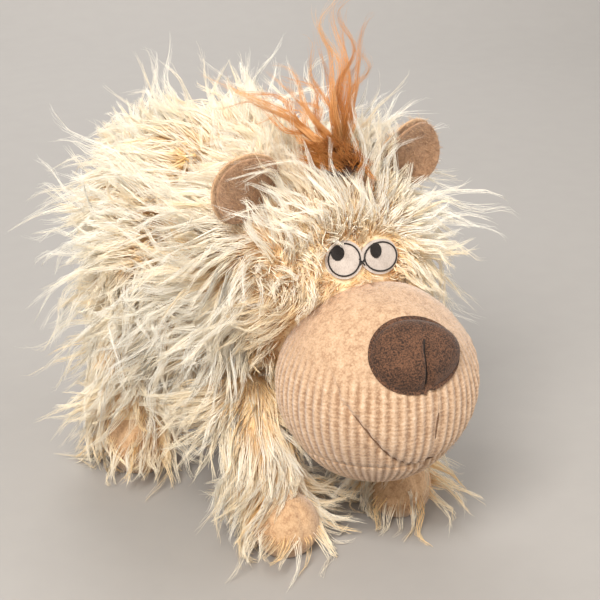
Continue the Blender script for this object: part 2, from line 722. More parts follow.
def torso_fur():
    rng = np.random.default_rng(11)
    points, normals = torso_spread(2100)
    keep = ~near(points, HEAD, 80 * MM)
    keep &= ~((points[:, 1] < -10 * MM) & (points[:, 2] > 90 * MM))
    for hip, paw, radius in FORELEGS + HINDLEGS:
        keep &= ~near(points, hip, radius - 2 * MM)
    keep &= ~near(points, TAIL, 11 * MM)
    points, normals = points[keep], normals[keep]
    count = len(points)
    back = np.array([0.0, 1.0, 0.0])
    side = np.sign(points[:, :1]) * np.array([1.0, 0, 0])
    upper = step_up(0.0, 0.9, normals[:, 2])[:, None]
    under = step_up(0.1, 0.8, -normals[:, 2])[:, None]
    flow = back * (0.45 + 0.25 * upper) + side * 0.3 * upper + DOWN * (0.8 - 0.8 * upper)
    flow = flow + drift(points, 0.07, 0.3) * 0.5
    flow = flow - normals * np.sum(flow * normals, axis=1, keepdims=True)
    heading = normals * (0.62 - 0.1 * under) + unit(flow) * rng.uniform(0.5, 1.0, (count, 1))
    lengths = rng.uniform(27, 42, count) * MM
    wild = rng.uniform(0, 1, count) > 0.74
    heading[wild] = normals[wild] + unit(flow)[wild] * rng.uniform(0.3, 1.2, (wild.sum(), 1))
    lengths[wild] = rng.uniform(46, 72, wild.sum()) * MM
    lengths *= 1 - 0.3 * step_up(0.05, 0.1, points[:, 1])
    low_flank = step_up(0.1, 0.5, -normals[:, 2]) * (np.abs(points[:, 0]) > 30 * MM)
    lengths *= 1 + 0.35 * low_flank
    chest = step_up(0.0, 0.04, -points[:, 1]) * (points[:, 2] < 100 * MM)
    lengths *= 1 + 0.4 * chest
    belly = (np.abs(points[:, 0]) < 34 * MM) & (normals[:, 2] < -0.5)
    lengths[belly] *= 0.75
    droop = 0.5 + 0.35 * under[:, 0] - 0.3 * upper[:, 0]
    balls = [MUZZLE_BALL, HEAD_BALL] + [(hip, radius - 4 * MM) for hip, paw, radius in FORELEGS + HINDLEGS]
    guides = lock_guides(points - normals * MM, heading, lengths, balls, rng, droop, 1.6, 6.5 * MM)
    patch = drift(points, 0.06, 2.2)[:, 0] * 0.5 + 0.5
    tones = np.clip(0.58 + 0.3 * patch + 0.2 * wild + rng.normal(0, 0.16, count) - 0.3 * belly, 0.05, 0.98)
    angle = np.degrees(np.arctan2(points[:, 0], points[:, 2] - TORSO_AXIS))
    rear = points[:, 1] > 76 * MM
    groups = {
        "torso_fur_back": (np.abs(angle) < 40) & ~rear,
        "torso_fur_left_shoulder": (angle >= 40) & (angle < 78) & ~rear,
        "torso_fur_right_shoulder": (angle <= -40) & (angle > -78) & ~rear,
        "torso_fur_left_flank": (angle >= 78) & (angle < 128) & ~rear,
        "torso_fur_right_flank": (angle <= -78) & (angle > -128) & ~rear,
        "torso_fur_underside": (np.abs(angle) >= 128) & ~rear,
        "torso_fur_left_rump": rear & (points[:, 0] >= 0),
        "torso_fur_right_rump": rear & (points[:, 0] < 0),
    }
    for name, chosen in groups.items():
        chosen = chosen & ~wild
        strands = 9 if name == "torso_fur_underside" else 15
        piece = fur_piece(
            name, "torso", guides[chosen], tones[chosen], rng, strands, 4.8 * MM, 4, (0.15, 0.33), 2.2 * MM
        )
        if name == "torso_fur_back":
            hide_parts("torso_long_locks")
    under_guides = lock_guides(
        points - normals * MM, normals + drift(points, 0.03, 5.0) * 0.7, lengths * 0.42, balls, rng, 0.2, 2.0, 3 * MM
    )
    for name, chosen in (("torso_wisps_left", points[:, 0] >= 0), ("torso_wisps_right", points[:, 0] < 0)):
        chosen = chosen & wild
        fur_piece(
            name, "torso", guides[chosen], tones[chosen], rng, 10, 3.6 * MM, 6, (0.1, 0.24), 2.4 * MM, tip_spread=0.2
        )
    under_tones = np.clip(tones * 0.6 + 0.1, 0.05, 0.7)
    for name, chosen in (("torso_undercoat_left", points[:, 0] >= 0), ("torso_undercoat_right", points[:, 0] < 0)):
        fur_piece(
            name, "torso", under_guides[chosen], under_tones[chosen], rng, 5, 6 * MM, 2, (0.3, 0.6), 3 * MM, tip_spread=0.7
        )


def head_fur():
    rng = np.random.default_rng(23)
    points, normals = ball_spread(HEAD, HEAD_SKIN, 1750)
    face = np.array(FACE)
    to_face = normals @ face
    toward_torso = unit(np.array([[0.0, TORSO_REAR / 2 - HEAD.y, TORSO_AXIS - HEAD.z]]))[0]
    keep = to_face < math.cos(math.radians(41))
    keep &= normals @ toward_torso < math.cos(math.radians(52))
    keep &= eye_window(points + normals * 3 * MM) > 1
    keep &= ~near(points, TUFT, 16 * MM)
    for name, side in SIDES:
        hinge = pivot("ear_%s_flop" % name)
        keep &= ~near(points, hinge, 9 * MM)
    points, normals, to_face = points[keep], normals[keep], to_face[keep]
    count = len(points)
    away = -face[None] + normals * to_face[:, None]
    away = unit(away)
    brow = step_up(0.25, 0.62, to_face) * step_up(-0.1, 0.35, normals[:, 2])
    sides = np.abs(normals[:, 0])
    flow = away * 0.8 + DOWN * (0.5 * step_up(0.2, 0.8, sides))[:, None]
    flow = flow + np.sign(points[:, :1]) * np.array([0.5, 0, 0]) * step_up(0.2, 0.9, normals[:, 2:3])
    flow = flow + drift(points, 0.06, 4.0) * 0.5
    flow = flow - normals * np.sum(flow * normals, axis=1, keepdims=True)
    lift = 0.72 - 0.25 * brow + 0.15 * step_up(0.5, 0.9, sides)
    heading = normals * lift[:, None] + unit(flow) * rng.uniform(0.5, 1.0, (count, 1))
    rim = step_up(0.35, 0.7, to_face)
    lengths = rng.uniform(28, 44, count) * MM
    wild = (rng.uniform(0, 1, count) > 0.72) & (brow < 0.3)
    heading[wild] = normals[wild] + unit(flow)[wild] * rng.uniform(0.2, 0.8, (wild.sum(), 1))
    lengths[wild] = rng.uniform(46, 66, wild.sum()) * MM
    lengths *= (1 - 0.45 * rim) * (1 - 0.4 * brow) * (1 + 0.32 * step_up(0.45, 0.85, sides))
    balls = [MUZZLE_BALL, (HEAD, HEAD_SKIN + 1 * MM)]
    droop = 0.3 + 0.35 * sides
    guides = lock_guides(points - normals * MM, heading, lengths, balls, rng, droop, 1.6, 6.0 * MM)
    patch = drift(points, 0.05, 1.2)[:, 1] * 0.5 + 0.5
    tones = np.clip(0.6 + 0.28 * patch - 0.28 * rim + 0.15 * wild + rng.normal(0, 0.15, count), 0.03, 0.98)
    angle = np.degrees(np.arctan2(points[:, 0], points[:, 2] - HEAD.z))
    groups = {
        "head_fur_crown": np.abs(angle) < 50,
        "head_fur_left_cheek": (angle >= 50),
        "head_fur_right_cheek": (angle <= -50),
    }
    for name, chosen in groups.items():
        chosen = chosen & ~wild
        piece = fur_piece(
            name, "head", guides[chosen], tones[chosen], rng, 14, 4.2 * MM, 4, (0.13, 0.3), 2.0 * MM
        )
        if name == "head_fur_crown":
            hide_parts("head_long_locks")
    under_guides = lock_guides(
        points - normals * MM, normals + drift(points, 0.03, 6.0) * 0.8, np.minimum(lengths * 0.4, 15 * MM), balls, rng, 0.2, 2.0, 3 * MM
    )
    fur_piece(
        "head_undercoat", "head", under_guides, np.clip(tones * 0.6 + 0.1, 0.05, 0.7), rng, 5, 5 * MM, 2, (0.28, 0.55), 2.5 * MM, tip_spread=0.7
    )
    fur_piece("head_wisps", "head", guides[wild], tones[wild], rng, 10, 3.4 * MM, 6, (0.1, 0.22), 2.4 * MM, tip_spread=0.2)


def brow_fur():
    """Short soft pile round the eyes, which leaves the felt itself free."""
    rng = np.random.default_rng(29)
    points, normals = ball_spread(HEAD, HEAD_SKIN, 9000)
    across, up, out = (np.array(v) for v in eye_axes())
    q = points - np.array(HEAD)
    x, y = q @ across, q @ up
    near_eyes = (np.sqrt((x / 0.034) ** 2 + (y / 0.026) ** 2) < 1) & (q @ out > 0)
    free = np.ones(len(points), bool)
    for lobe in LOBES.values():
        cx, cy, wide, tall = lobe
        free &= np.sqrt(((x - cx) / (wide + 1.5 * MM)) ** 2 + ((y - cy) / (tall + 1.5 * MM)) ** 2) > 1
    free &= lengths_of(points - np.array(MUZZLE))[:, 0] > MUZZLE_RADIUS + 1 * MM
    keep = near_eyes & free
    points, normals, x, y = points[keep], normals[keep], x[keep], y[keep]
    away = unit(across[None] * x[:, None] + up[None] * y[:, None])
    rising = np.clip(y / 0.02, 0, 1)[:, None]
    heading = normals * 0.45 + away * 0.8 + up[None] * 0.3 * rising + drift(points, 0.03, 2.0) * 0.5
    lengths = rng.uniform(8, 15, len(points)) * MM
    guides = lock_guides(points - normals * MM, heading, lengths, [MUZZLE_BALL], rng, 0.1, 1.6, 2 * MM)
    tones = np.clip(rng.normal(0.3, 0.2, len(points)), 0.03, 0.9)
    strands, tone = strands_of(guides, tones, rng, 9, 2.2 * MM, 4, 1.5 * MM, tip_spread=0.4)
    piece = strand_mesh("brow_fur", strands, tone, strand_thickness(rng, len(strands), 0.12, 0.26))
    finished(piece, PILE, "head", "long_pile_cream")


def leg_fur():
    for pair, count in (("foreleg", 380), ("hindleg", 380)):
        for name, side in SIDES:
            rng = np.random.default_rng(31 + side + count + (pair == "foreleg"))
            hip, paw, radius = leg_place(pair, name)
            k = np.arange(count) + 0.5
            turn = k * math.pi * (3 - math.sqrt(5))
            along = (k / count)[:, None]
            out = np.stack([np.cos(turn), np.sin(turn), np.zeros(count)], axis=1)
            points = leg_line(pair, name, along) + out * (radius - LEG_SKIN_STEP)
            points[:, 2] = np.maximum(points[:, 2], 5 * MM)
            inner = math.copysign(1, hip.x) * out[:, 0] < -0.6
            bare = bare_patch(pair, out, along[:, 0])
            keep = ~(inner & (along[:, 0] > 0.5)) & ~bare
            points, out, along = points[keep], out[keep], along[keep]
            kept = len(points)
            flow = DOWN * (0.75 + 0.3 * along) + drift(points, 0.05, 3.0) * 0.35
            heading = out * rng.uniform(0.55, 1.1, (kept, 1)) + flow
            lengths = rng.uniform(26, 42, kept) * MM * (1 + 0.35 * along[:, 0])
            wild = rng.uniform(0, 1, kept) > 0.82
            lengths[wild] *= 1.25
            balls = [(paw, radius + 0.5 * MM), MUZZLE_BALL]
            guides = lock_guides(points, heading, lengths, balls, rng, 0.3, 1.4, 5 * MM)
            tones = np.clip(0.62 + rng.normal(0, 0.2, kept) - 0.2 * (along[:, 0] < 0.3), 0.05, 0.98)
            body = "%s_%s" % (pair, name)
            for tail, chosen, strands, spread, rings, thick in (
                ("_fur", ~wild, 12, 4.4 * MM, 4, (0.14, 0.31)),
                ("_wisps", wild, 9, 3.4 * MM, 6, (0.1, 0.2)),
            ):
                line, tone = strands_of(guides[chosen], tones[chosen], rng, strands, spread, rings, 2.3 * MM)
                clear = seen_clear(line, body)
                line, tone = line[clear], tone[clear]
                piece = strand_mesh(body + tail, line, tone, strand_thickness(rng, len(line), *thick))
                bent_at_hip(piece, pair, name, PILE, "long_pile_cream")


def bare_patch(pair, out, along):
    """Where a paw's chenille shows between the locks: in front below, and on a hind paw's outer side."""
    if pair == "foreleg":
        return (out[:, 1] < -0.6) & (along > 0.08) & (along < 0.34)
    return (out[:, 1] < -0.1) & (np.abs(out[:, 0]) > 0.5) & (along > 0.1) & (along < 0.4)


def tail_fur():
    rng = np.random.default_rng(41)
    low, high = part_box("tail_coat")
    tip = Vector((0, high.y - 8 * MM, high.z - 8 * MM))
    count = 170
    k = np.arange(count) + 0.5
    turn = k * math.pi * (3 - math.sqrt(5))
    along = (k / count)[:, None]
    axis = np.array((tip - TAIL).normalized())
    side = unit(np.cross(axis, np.array([1.0, 0, 0]))[None])[0]
    out = np.cos(turn)[:, None] * np.array([1.0, 0, 0]) + np.sin(turn)[:, None] * side
    points = np.array(TAIL) + np.array(tip - TAIL) * along + out * (9 * MM - 4 * MM * along)
    heading = out * 0.6 + axis * 0.7 + drift(points, 0.04, 1.0) * 0.3
    lengths = rng.uniform(22, 34, count) * MM * (1 - 0.3 * along[:, 0])
    guides = lock_guides(points, heading, lengths, [], rng, 0.6, 1.0, 3.5 * MM)
    tones = np.clip(0.7 + rng.normal(0, 0.18, count), 0.05, 0.98)
    fur_piece("tail_fur", "tail", guides, tones, rng, 13, 4 * MM, 4, (0.14, 0.3), 2 * MM)


def neck_fur():
    """A short collar of pile on the neck pad, between the head's coat and the body's."""
    rng = np.random.default_rng(47)
    points, normals = ball_spread(HEAD, HEAD_SKIN + 12 * MM, 900)
    toward = unit(np.array([[0.0, TORSO_REAR / 2 - HEAD.y, TORSO_AXIS - HEAD.z]]))[0]
    lean = normals @ toward
    keep = (lean > math.cos(math.radians(36))) & (lean < math.cos(math.radians(24)))
    points, normals = points[keep], normals[keep]
    lengths = rng.uniform(9, 14, len(points)) * MM
    guides = lock_guides(points, normals - toward * 1.2, lengths, [], rng, 0.2, 1.0, 2 * MM)
    tones = np.clip(0.4 + rng.normal(0, 0.1, len(points)), 0, 1)
    fur_piece("neck_fur", "neck", guides, tones, rng, 14, 4 * MM, 4, (0.16, 0.3), 1.5 * MM)


# ---- skins under the fur ----


def torso_skin():
    bag = turned_shape("torso_skin_left", torso_profile_points())
    ball = cloth_ball("head_room", HEAD, HEAD_SKIN + 21 * MM, 64, 32)
    modified(bag, "BOOLEAN", operation="DIFFERENCE", object=ball, solver="EXACT")
    thrown_away(ball)
    nothing_selected()
    bpy.ops.mesh.primitive_cube_add(size=0.4, location=(0, TORSO_FRONT + 0.034 - 0.2, HEAD.z - HEAD_SKIN - 14 * MM + 0.2))
    step = bpy.context.object
    settle(step)
    modified(bag, "BOOLEAN", operation="DIFFERENCE", object=step, solver="EXACT")
    thrown_away(step)
    panel_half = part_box("belly_panel")[1].x
    panel_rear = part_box("belly_panel")[1].y
    panel = copy_of(bag, "belly_cloth")
    half_kept(panel, (panel_half, 0, 0), (-1, 0, 0))
    half_kept(panel, (-panel_half, 0, 0), (1, 0, 0))
    half_kept(panel, (0, panel_rear, 0), (0, -1, 0))
    half_kept(panel, (0, 0, TORSO_AXIS - 30 * MM), (0, 0, -1))
    room = copy_of(panel, "panel_room")
    modified(bag, "BOOLEAN", operation="DIFFERENCE", object=room, solver="EXACT")
    thrown_away(room)
    right = copy_of(bag, "torso_skin_right")
    half_kept(bag, (0, 0, 0), (1, 0, 0))
    half_kept(right, (0, 0, 0), (-1, 0, 0))
    for piece, nodes in (
        (bag, ("torso_coat_left", "torso_stuffing")),
        (right, ("torso_coat_right",)),
        (panel, ("belly_panel",)),
    ):
        outward_faces(piece)
        finished(smooth(piece), BACKING, "torso", "long_pile_cream", *nodes)


def head_skin():
    left = cloth_ball("head_skin_left", HEAD, HEAD_SKIN, 96, 64)
    right = copy_of(left, "head_skin_right")
    half_kept(left, (0, 0, 0), (1, 0, 0))
    half_kept(right, (0, 0, 0), (-1, 0, 0))
    for piece, nodes in ((left, ("head_coat_left", "head_stuffing")), (right, ("head_coat_right",))):
        finished(smooth(piece), BACKING, "head", "long_pile_cream", *nodes)


def neck_skin():
    pad = cloth_ball("neck_pad", HEAD, HEAD_SKIN + 18 * MM, 72, 48)
    hollow = cloth_ball("pad_hollow", HEAD, HEAD_SKIN + 14.5 * MM, 72, 48)
    modified(pad, "BOOLEAN", operation="DIFFERENCE", object=hollow, solver="EXACT")
    thrown_away(hollow)
    toward = Vector((0, TORSO_REAR / 2 - HEAD.y, TORSO_AXIS - HEAD.z)).normalized()
    half_kept(pad, HEAD + toward * 61 * MM, toward)
    finished(smooth(pad), BACKING, "neck", "stuffing", "neck_stuffing")


def leg_line(pair, side_name, share):
    """The leg's middle line, from the paw past the hip to where the sleeve is sewn to the body."""
    hip, paw, radius = leg_place(pair, side_name)
    low, top = np.array(paw), np.array(hip)
    sewn = top + np.array([-math.copysign(6 * MM, hip.x), SLEEVE_BACK[pair], 24 * MM])
    first = np.clip(share / 0.6, 0, 1)
    last = np.clip((share - 0.6) / 0.4, 0, 1)
    return low + (top - low) * first + (sewn - top) * last


SLEEVE_BACK = {"foreleg": 16 * MM, "hindleg": -4 * MM}


def bent_at_hip(piece, pair, side_name, finish, slot, *nodes):
    """A leg piece that follows the body above the hip and the leg below it."""
    hip, paw, radius = leg_place(pair, side_name)
    piece.data.materials.clear()
    piece.data.materials.append(finish)
    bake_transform(piece)
    if nodes:
        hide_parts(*nodes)


def leg_skins():
    for pair in ("foreleg", "hindleg"):
        for name, side in SIDES:
            hip, paw, radius = leg_place(pair, name)
            body = "%s_%s" % (pair, name)
            leg = cloth_ball(body + "_skin", (0, 0, 0), 1.0, 48, 40)
            points = coords(leg)
            share = (points[:, 2:3] + 1) / 2
            width = (radius - LEG_SKIN_STEP) * (1 - 0.06 * np.sin(share * math.pi))
            ring = points * np.array([1, 1, 0])
            ring = ring / np.maximum(lengths_of(ring), 1e-6) * np.sqrt(np.clip(1 - points[:, 2:3] ** 6, 0, 1))
            place_coords(leg, leg_line(pair, name, share) + ring * width)
            outward_faces(leg)
            smooth(leg)
            bent_at_hip(leg, pair, name, BACKING, "long_pile_cream", body + "_coat", body + "_stuffing")
            sole = cloth_ball(body + "_paw", paw, radius, 96, 64)
            shape = coords(sole)
            centre = np.array(paw)
            away = shape - centre
            pinch = 1 - 0.045 * np.exp(-((away[:, 0:1] / (2 * MM)) ** 2)) * step_up(0.2, 0.8, -away[:, 1:2] / radius)
            shape = centre + away * pinch
            flat = shape[:, 2] < 0.4 * MM
            shape[flat, 2] = 0.0
            place_coords(sole, shape)
            finished(smooth(sole), TAN, body, "chenille_tan", body + "_paw_cover")


def tail_skin():
    low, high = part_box("tail_coat")
    tip = Vector((0, high.y - 8 * MM, high.z - 8 * MM))
    tail = cloth_ball("tail_skin", (0, 0, 0), 1.0, 40, 28)
    points = coords(tail)
    share = (points[:, 2:3] + 1) / 2
    axis = np.array((tip - TAIL).normalized())
    side = np.cross(axis, np.array([1.0, 0, 0]))
    ring = points[:, 0:1] * np.array([1.0, 0, 0]) + points[:, 1:2] * side
    width = 9.5 * MM - 4 * MM * share
    place_coords(tail, np.array(TAIL) - axis * 6 * MM + np.array(tip - TAIL) * share * 1.2 + ring * width)
    outward_faces(tail)
    finished(smooth(tail), BACKING, "tail", "long_pile_cream", "tail_coat", "tail_stuffing")


# ---- muzzle ----


def muzzle_shape(points):
    """The knit over its stuffing: ribs that run down to the chin, seams that pull in and soft hollows."""
    away = points - np.array(MUZZLE)
    out = unit(away)
    turn = np.arctan2(out[:, 0], -out[:, 1])
    high = out[:, 2]
    ribs = np.cos(turn * RIB_COUNT + 0.5 * np.sin(3 * turn))
    ribs = np.sign(ribs) * np.abs(ribs) ** 0.8
    fade = step_up(0.75, -0.05, high) * step_up(-0.97, -0.8, high) * 1.0
    lift = RIB_HEIGHT * ribs * fade
    middle_seam = np.exp(-((away[:, 0] / (1.3 * MM)) ** 2)) * step_up(0.15, -0.1, high) * (out[:, 1] < 0)
    chin = np.exp(-(((points[:, 2] - CHIN_SEAM) / (1.2 * MM)) ** 2)) * 0.8
    smile = smile_height(np.abs(away[:, 0])) + MUZZLE.z
    reach = (np.abs(away[:, 0]) < 42 * MM) & (out[:, 1] < 0)
    crease = np.exp(-(((points[:, 2] - smile) / (2.2 * MM)) ** 2)) * reach * 1.5
    cheeks = 1.2 * MM * np.exp(-(((points[:, 2] - smile - 9 * MM) / (9 * MM)) ** 2)) * reach
    lumps = drift(points, 0.05, 0.7)[:, 2] * 0.5 * MM
    lift = lift - 1.6 * MM * middle_seam - 1.0 * MM * chin - 1.4 * MM * crease + cheeks + lumps
    return points + out * lift[:, None]


def smile_height(across):
    """How far above the muzzle's centre the stitched smile runs, by its distance from the middle."""
    return -29.5 * MM + 34 * MM * (across / (40 * MM)) ** 2.4


def muzzle():
    ball = cloth_ball("muzzle_cover_left_knit", MUZZLE, MUZZLE_RADIUS - 0.8 * MM, 384, 120)
    place_coords(ball, muzzle_shape(coords(ball)))
    chin = copy_of(ball, "chin_knit")
    half_kept(chin, (0, 0, CHIN_SEAM), (0, 0, -1))
    half_kept(ball, (0, 0, CHIN_SEAM), (0, 0, 1))
    right = copy_of(ball, "muzzle_cover_right_knit")
    half_kept(ball, (0, 0, 0), (1, 0, 0))
    half_kept(right, (0, 0, 0), (-1, 0, 0))
    finished(smooth(ball), BEIGE, "head", "chenille_beige", "muzzle_cover_left", "muzzle_stuffing")
    finished(smooth(right), BEIGE, "head", "chenille_beige", "muzzle_cover_right")
    finished(smooth(chin), BEIGE, "head", "chenille_beige", "chin_panel")


def fuzz(name, piece_points, normals, body, finish, slot, length, thick, seed):
    """Fine short fibres that stand off a cloth."""
    rng = np.random.default_rng(seed)
    heading = unit(normals + rng.normal(0, 0.5, normals.shape))
    reach = rng.uniform(0.4, 1.0, (len(normals), 1)) * length
    middle = piece_points + heading * reach * 0.5 + rng.normal(0, 0.12 * length, normals.shape)
    tip = middle + unit(heading + rng.normal(0, 0.5, normals.shape)) * reach * 0.5
    line = np.stack([piece_points - normals * 0.2 * MM, middle, tip], axis=1)
    piece = strand_mesh(name, line, rng.uniform(0.2, 0.9, len(line)), np.full(len(line), thick))
    return finished(piece, finish, body, slot)


def fuzz_finish(name, dark, light):
    finish = Finish(name, Roughness=0.8, Specular_IOR_Level=0.2)
    uv = finish.node("ShaderNodeUVMap", {"uv_map": "OFBake"}).outputs[0]
    split = finish.node("ShaderNodeSeparateXYZ", None, {0: uv})
    tone = Shade(finish, split.outputs[0])
    return finish.surface(Base_Color=finish.blended(tone, dark, light))


def muzzle_fuzz():
    points, normals = ball_spread(MUZZLE, MUZZLE_RADIUS - 0.7 * MM, 8000)
    to_head = lengths_of(points - np.array(HEAD))[:, 0]
    direction, seat, across, up = nose_frame()
    q = points - seat
    in_nose = np.sqrt((q @ across / NOSE_HALF[0]) ** 2 + (q @ up / NOSE_HALF[1]) ** 2) < 1.0
    in_nose &= (q @ direction) > -12 * MM
    keep = (to_head > HEAD_SKIN + 2 * MM) & ~in_nose
    finish = fuzz_finish("chenille_fuzz", colour(190, 150, 112), colour(230, 202, 168))
    fuzz("muzzle_fuzz", points[keep], normals[keep], "head", finish, "chenille_beige", 1.8 * MM, 0.06 * MM, 5)


# ---- nose ----

NOSE_HALF = (24.3 * MM, 18.6 * MM, 13.4 * MM)


def nose_frame():
    """The nose's outward direction, its centre, and its across and upward directions."""
    tilt, turn = math.radians(38), math.radians(-8)
    direction = np.array([math.sin(turn) * math.cos(tilt), -math.cos(turn) * math.cos(tilt), math.sin(tilt)])
    seat = np.array(MUZZLE) + direction * (MUZZLE_RADIUS - 6 * MM)
    across = unit(np.cross(np.array([0, 0, 1.0]), direction)[None])[0]
    return direction, seat, across, np.cross(direction, across)


def nose():
    direction, seat, across, up = nose_frame()
    cushion = cloth_ball("nose_velour", (0, 0, 0), 1.0, 160, 96)
    points = coords(cushion)
    x, y, z = points[:, 0:1], points[:, 2:3], -points[:, 1:2]
    full = 1 - 0.06 * y * (y > 0) + 0.03 * np.cos(3 * np.arctan2(y, x))
    flat = np.abs(np.sqrt(x**2 + y**2))
    plump = np.sign(z) * np.abs(z) ** 0.95
    groove = np.exp(-(((x - 0.03 - 0.06 * y) / 0.05) ** 2)) * step_up(0.28, -0.15, y) * (z > -0.2)
    notch = 0.09 * np.exp(-(((x - 0.03) / 0.09) ** 2)) * (y < 0) * flat**3
    px = x * NOSE_HALF[0] * full
    py = y * NOSE_HALF[1] * full * (1 - notch)
    pz = plump * NOSE_HALF[2] - groove * 3.6 * MM
    shape = seat + px * across + py * up + pz * direction
    away = shape - np.array(MUZZLE)
    seated = MUZZLE_RADIUS + 0.1 * MM
    short = lengths_of(away) < seated
    shape = np.where(short, np.array(MUZZLE) + unit(away) * seated, shape)
    place_coords(cushion, shape)
    outward_faces(cushion)
    finished(smooth(cushion), VELOUR, "head", "velour_brown", "nose_cover", "nose_stuffing")
    rng = np.random.default_rng(8)
    spots = rng.uniform(-1, 1, (4200, 2))
    spots = spots[(spots**2).sum(axis=1) < 0.98]
    sx, sy = spots[:, 0:1], spots[:, 1:2]
    sz = np.sqrt(np.clip(1 - sx**2 - sy**2, 0, 1))
    keep = np.abs(sx - 0.03 - 0.06 * sy)[:, 0] > 0.045
    full = 1 - 0.06 * sy * (sy > 0) + 0.03 * np.cos(3 * np.arctan2(sy, sx))
    groove = np.exp(-(((sx - 0.03 - 0.06 * sy) / 0.05) ** 2)) * step_up(0.28, -0.15, sy)
    top = seat + sx * NOSE_HALF[0] * full * across + sy * NOSE_HALF[1] * full * up
    top = top + (sz**0.95 * NOSE_HALF[2] - groove * 3.6 * MM) * direction
    normals = unit(sx / NOSE_HALF[0] * across + sy / NOSE_HALF[1] * up + sz / NOSE_HALF[2] * direction)
    outside = lengths_of(top - np.array(MUZZLE))[:, 0] > MUZZLE_RADIUS + 0.5 * MM
    keep &= outside
    finish = fuzz_finish("velour_fuzz", colour(52, 33, 22), colour(110, 76, 54))
    fuzz("nose_fuzz", top[keep], normals[keep], "head", finish, "velour_brown", 0.9 * MM, 0.05 * MM, 6)


def thread_run(name, points, radius):
    """One run of thread through some points."""
    curve = bpy.data.curves.new(name, "CURVE")
    curve.dimensions = "3D"
    curve.bevel_depth = radius
    curve.bevel_resolution = 2
    curve.use_fill_caps = True
    spline = curve.splines.new("NURBS")
    spline.points.add(len(points) - 1)
    for knot, point in zip(spline.points, points):
        knot.co = (*point, 1.0)
    spline.order_u = 3
    spline.use_endpoint_u = True
    run = bpy.data.objects.new(name, curve)
    bpy.context.scene.collection.objects.link(run)
    only(run)
    bpy.ops.object.convert(target="MESH")
    run = bpy.context.object
    return run


def joined(name, parts):
    nothing_selected()
    for part in parts:
        part.select_set(True)
    bpy.context.view_layer.objects.active = parts[0]
    bpy.ops.object.join()
    whole = bpy.context.object
    whole.name = name
    return whole


def on_muzzle(x, z, lift):
    """A point on the muzzle's front from its sideways and upward distance from the centre."""
    y = -math.sqrt(max(0.0, MUZZLE_RADIUS**2 - x * x - z * z))
    return MUZZLE + Vector((x, y, z)).normalized() * (MUZZLE_RADIUS + lift)


def mouth_threads():
    smile = []
    for k in range(41):
        x = (k / 20 - 1) * 40 * MM
        z = float(smile_height(abs(x)))
        smile.append(on_muzzle(x, z, -2.2 * MM))
    down = []
    for k in range(14):
        z = 4 * MM - (k / 13) * 33 * MM
        down.append(on_muzzle(0.4 * MM * math.sin(k), z, -2.1 * MM))
    parts = [
        thread_run("smile", smile, 0.5 * MM),
        thread_run("under_nose", down, 0.5 * MM),
    ]
    whole = joined("mouth_threads", parts)
    finished(smooth(whole), BROWN_THREAD, "head", "thread_black", "mouth_stitches")
    direction, seat, across, up = nose_frame()
    crease = []
    for k in range(12):
        y = 0.2 - 1.05 * k / 11
        x = 0.03 + 0.06 * y
        z = math.sqrt(max(0.0, 1 - x * x - y * y)) ** 0.95
        deep = 3.4 * MM * float(step_up(0.28, -0.15, np.array(y)))
        point = seat + x * NOSE_HALF[0] * across + y * NOSE_HALF[1] * up + (z * NOSE_HALF[2] - deep) * direction
        crease.append(Vector(point))
    run = thread_run("nose_crease_thread", crease, 0.5 * MM)
    finished(smooth(run), BLACK_THREAD, "head", "thread_black", "nose_crease_stitches")


# ---- eyes ----

FELT_THICK = 1.6 * MM
RIM = 1.7 * MM
# each lobe's sideways and upward place and its half sizes
LOBES = {
    "right": (-13.0 * MM, 0.2 * MM, 10.6 * MM, 9.9 * MM),
    "left": (10.3 * MM, 0.5 * MM, 13.6 * MM, 9.0 * MM),
}
NOTCH = -3.0 * MM


def eye_axes():
    out = (EYES - HEAD).normalized()
    level = Vector((1, 0, 0))
    rise = out.cross(level)
    tilt = math.radians(8)
    return level * math.cos(tilt) - rise * math.sin(tilt), level * math.sin(tilt) + rise * math.cos(tilt), out


def on_eyes(x, y, lift):
    """A point over the felt, which bends round the head."""
    across, up, out = eye_axes()
    flat = HEAD + out * (HEAD_SKIN + 0.1 * MM) + across * x + up * y
    return HEAD + (flat - HEAD).normalized() * (HEAD_SKIN + 0.1 * MM + lift)


def oval(lobe, inset, steps, start=0.0):
    """Points round one lobe, counter-clockwise, drawn in by an inset."""
    x, y, wide, tall = lobe
    turns = [start + 2 * math.pi * k / steps for k in range(steps)]
    return [(x + (wide - inset) * math.cos(a), y + (tall - inset) * math.sin(a)) for a in turns]


def beyond(point, lobe):
    """Whether a point lies outside a lobe."""
    x, y, wide, tall = lobe
    return ((point[0] - x) / wide) ** 2 + ((point[1] - y) / tall) ** 2 > 1


def felt_outline(steps=60):
    """The edge of the felt: both ovals joined at the notch between them."""
    right, left = LOBES["right"], LOBES["left"]
    first = [p for p in oval(right, 0.0, steps) if beyond(p, left)]
    second = [p for p in oval(left, 0.0, steps, math.pi) if beyond(p, right)]
    return first + second


